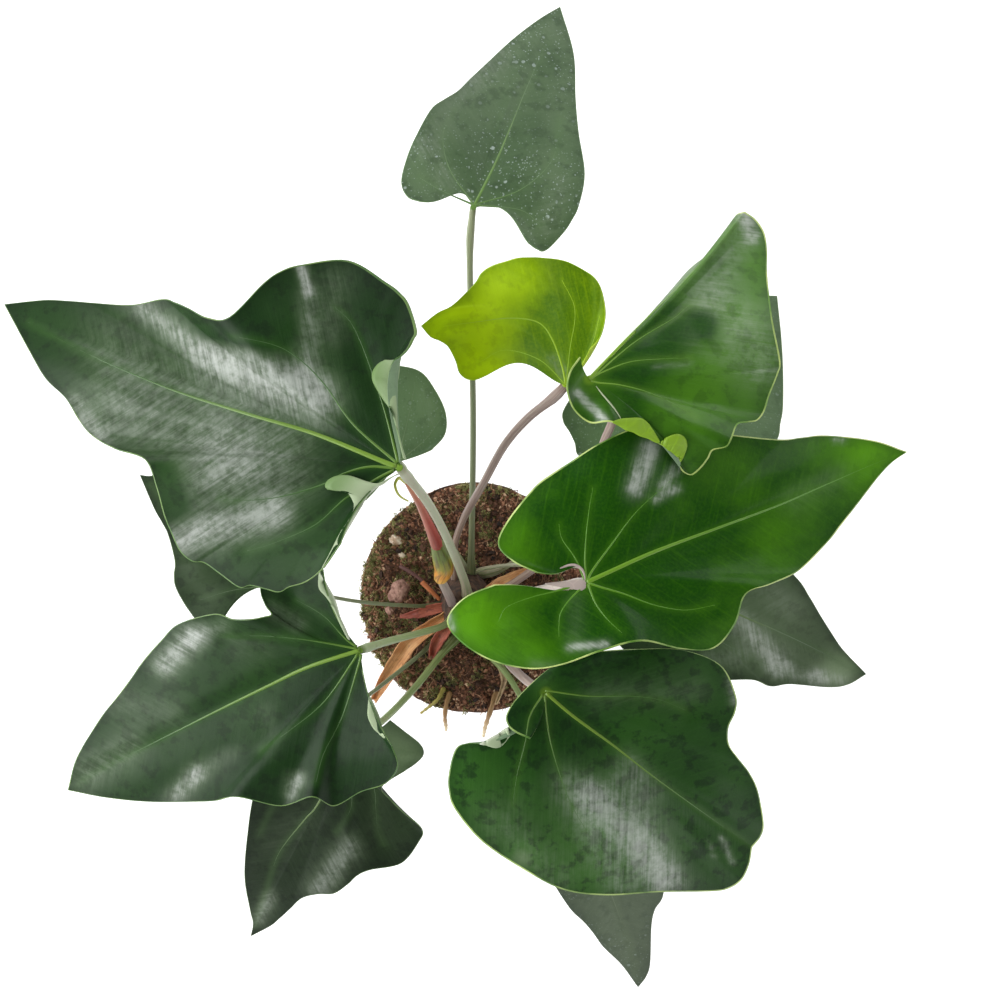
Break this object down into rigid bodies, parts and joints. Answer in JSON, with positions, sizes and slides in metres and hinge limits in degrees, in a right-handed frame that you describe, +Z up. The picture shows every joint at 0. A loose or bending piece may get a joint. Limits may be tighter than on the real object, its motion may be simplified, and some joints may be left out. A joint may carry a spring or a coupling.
{
  "type": "potted arrow anthurium",
  "caption": "Potted aroid house plant: arrow-shaped glossy leaves on long stalks that rise from one crown in a round nursery pot filled with mossy soil.",
  "frame": {"origin": "middle of the pot's underside", "axes": "+Z up along the pot's axis, +Y towards the top of the picture's view from above, +X to its right"},
  "size_m": [0.3861, 0.4617, 0.3542],
  "materials": {
    "leaf_dark": "glossy, dark green with yellow-green veins",
    "leaf_old": "satin, dark grey-green",
    "leaf_grey": "matte grey-green with lime dust",
    "leaf_young": "satin, bright yellow-green",
    "leaf_wet": "very glossy mid green",
    "leaf_bright": "glossy bright green",
    "leaf_mottled": "glossy mid green with darker spots",
    "stalk_sage": "satin sage green",
    "stalk_green": "satin olive green",
    "stalk_mauve": "satin mauve-brown",
    "shoot_stem": "satin mauve-grey",
    "shoot_joint": "satin, olive green to orange",
    "shoot_sheath": "satin red",
    "shoot_thread": "satin pale yellow-green",
    "rootlet": "matte tan",
    "dry_sheath": "dry, papery orange-tan",
    "dry_sheath_red": "dry red-brown",
    "crown": "matte brown bark",
    "soil": "crumbly peat with moss",
    "pot_plastic": "matte black moulded plastic"
  },
  "bodies": {
    "root": {"leaf_01": "leaf_dark", "leaf_02": "leaf_dark", "leaf_03": "leaf_old", "leaf_04": "leaf_grey", "leaf_05": "leaf_young", "leaf_06": "leaf_wet", "leaf_07": "leaf_bright", "leaf_08": "leaf_mottled", "leaf_09": "leaf_old", "leaf_10": "leaf_grey", "leaf_11": "leaf_grey", "leaf_12": "leaf_old", "leaf_13": "leaf_grey", "leaf_14": "leaf_old", "stalk_01": "stalk_sage", "stalk_02": "stalk_sage", "stalk_03": "stalk_green", "stalk_04": "stalk_sage", "stalk_05": "stalk_mauve", "stalk_06": "stalk_sage", "stalk_07": "stalk_mauve", "stalk_08": "stalk_mauve", "stalk_09": "stalk_sage", "stalk_10": "stalk_green", "stalk_11": "stalk_sage", "stalk_12": "stalk_green", "stalk_13": "stalk_sage", "stalk_14": "stalk_green", "shoot_stem": "shoot_stem", "shoot_joint": "shoot_joint", "shoot_sheath": "shoot_sheath", "shoot_thread": "shoot_thread", "rootlet_green": "rootlet", "rootlet_tan": "rootlet", "rootlet_cream": "rootlet", "dry_sheath_long": "dry_sheath", "dry_sheath_orange": "dry_sheath", "dry_sheath_tan": "dry_sheath", "dry_sheath_tip": "dry_sheath_red", "dry_sheath_red": "dry_sheath_red", "crown": "crown", "soil": "soil", "pot": "pot_plastic"}
  },
  "joints": []
}
